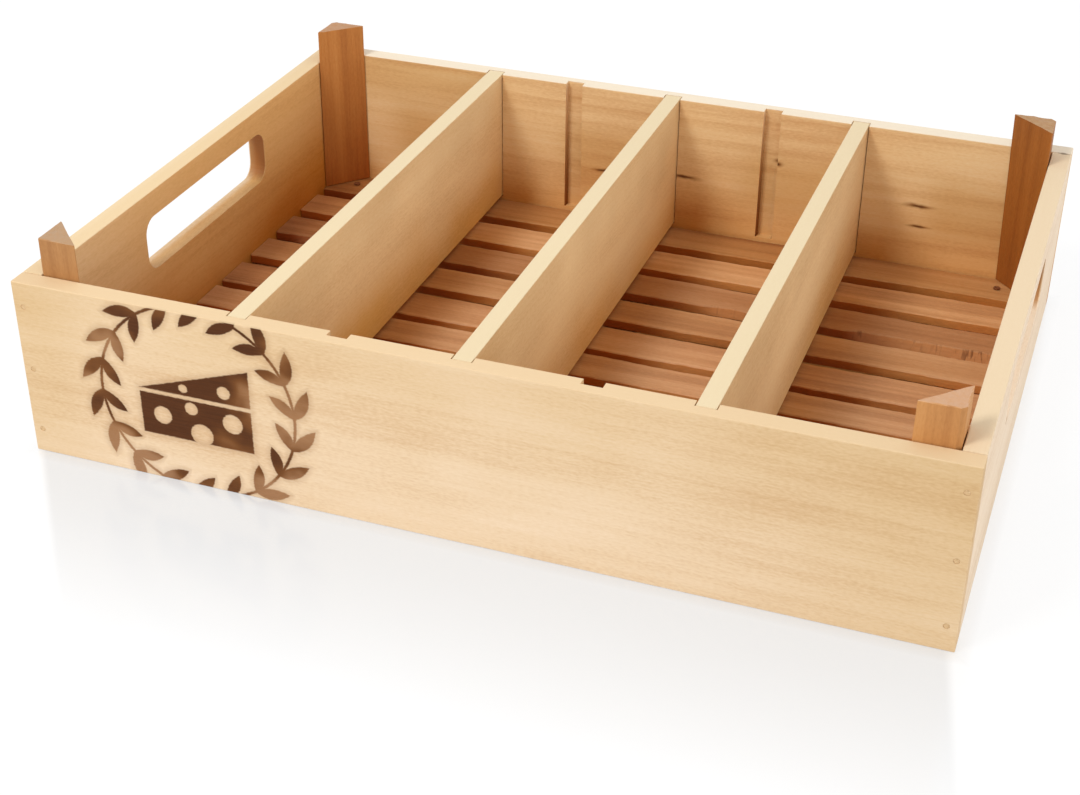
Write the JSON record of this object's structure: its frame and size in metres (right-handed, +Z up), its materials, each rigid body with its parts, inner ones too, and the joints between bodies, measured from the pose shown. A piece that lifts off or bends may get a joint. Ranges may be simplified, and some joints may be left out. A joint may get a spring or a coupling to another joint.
{
  "type": "wooden cheese crate with dividers",
  "caption": "Low wooden crate with a slatted floor, hand holes, stacking corner posts and lift-out dividers in grooves.",
  "frame": {"origin": "middle of the crate's footprint, on the surface that it stands on", "axes": "+X to the right along the front panel, +Y from the front to the back, +Z up"},
  "size_m": [0.4, 0.3, 0.1],
  "materials": {
    "panel_wood": "sanded pale softwood or beech, unvarnished, horizontal grain",
    "divider_wood": "sanded pale wood, unvarnished, grain along the board",
    "post_wood": "reddish brown wood, upright grain",
    "slat_wood": "rough sawn pinkish brown wood",
    "bearer_wood": "rough sawn wood",
    "nail_steel": "plain wire nail"
  },
  "bodies": {
    "crate": {"front_panel": "panel_wood", "back_panel": "panel_wood", "left_end_panel": "panel_wood", "right_end_panel": "panel_wood", "front_left_post": "post_wood", "back_left_post": "post_wood", "front_right_post": "post_wood", "back_right_post": "post_wood", "left_bearer": "bearer_wood", "middle_bearer": "bearer_wood", "right_bearer": "bearer_wood", "floor_slat_front": "slat_wood", "floor_slat_02": "slat_wood", "floor_slat_03": "slat_wood", "floor_slat_04": "slat_wood", "floor_slat_05": "slat_wood", "floor_slat_06": "slat_wood", "floor_slat_07": "slat_wood", "floor_slat_08": "slat_wood", "floor_slat_09": "slat_wood", "floor_slat_back": "slat_wood", "brad_front_left_bottom": "nail_steel", "brad_front_left_middle": "nail_steel", "brad_front_left_top": "nail_steel", "brad_back_left_bottom": "nail_steel", "brad_back_left_middle": "nail_steel", "brad_back_left_top": "nail_steel", "brad_front_right_bottom": "nail_steel", "brad_front_right_middle": "nail_steel", "brad_front_right_top": "nail_steel", "brad_back_right_bottom": "nail_steel", "brad_back_right_middle": "nail_steel", "brad_back_right_top": "nail_steel", "floor_nail_front_left": "nail_steel", "floor_nail_back_left": "nail_steel", "floor_nail_front_right": "nail_steel", "floor_nail_back_right": "nail_steel"},
    "left_divider": {"left_divider": "divider_wood"},
    "middle_divider": {"middle_divider": "divider_wood"},
    "right_divider": {"right_divider": "divider_wood"}
  },
  "joints": [
    {"name": "left_divider_lift", "type": "slide", "parent": "crate", "child": "left_divider", "axis": [0, 0, 1], "range_m": [0, 0.08]},
    {"name": "middle_divider_lift", "type": "slide", "parent": "crate", "child": "middle_divider", "axis": [0, 0, 1], "range_m": [0, 0.08]},
    {"name": "right_divider_lift", "type": "slide", "parent": "crate", "child": "right_divider", "axis": [0, 0, 1], "range_m": [0, 0.08]}
  ]
}
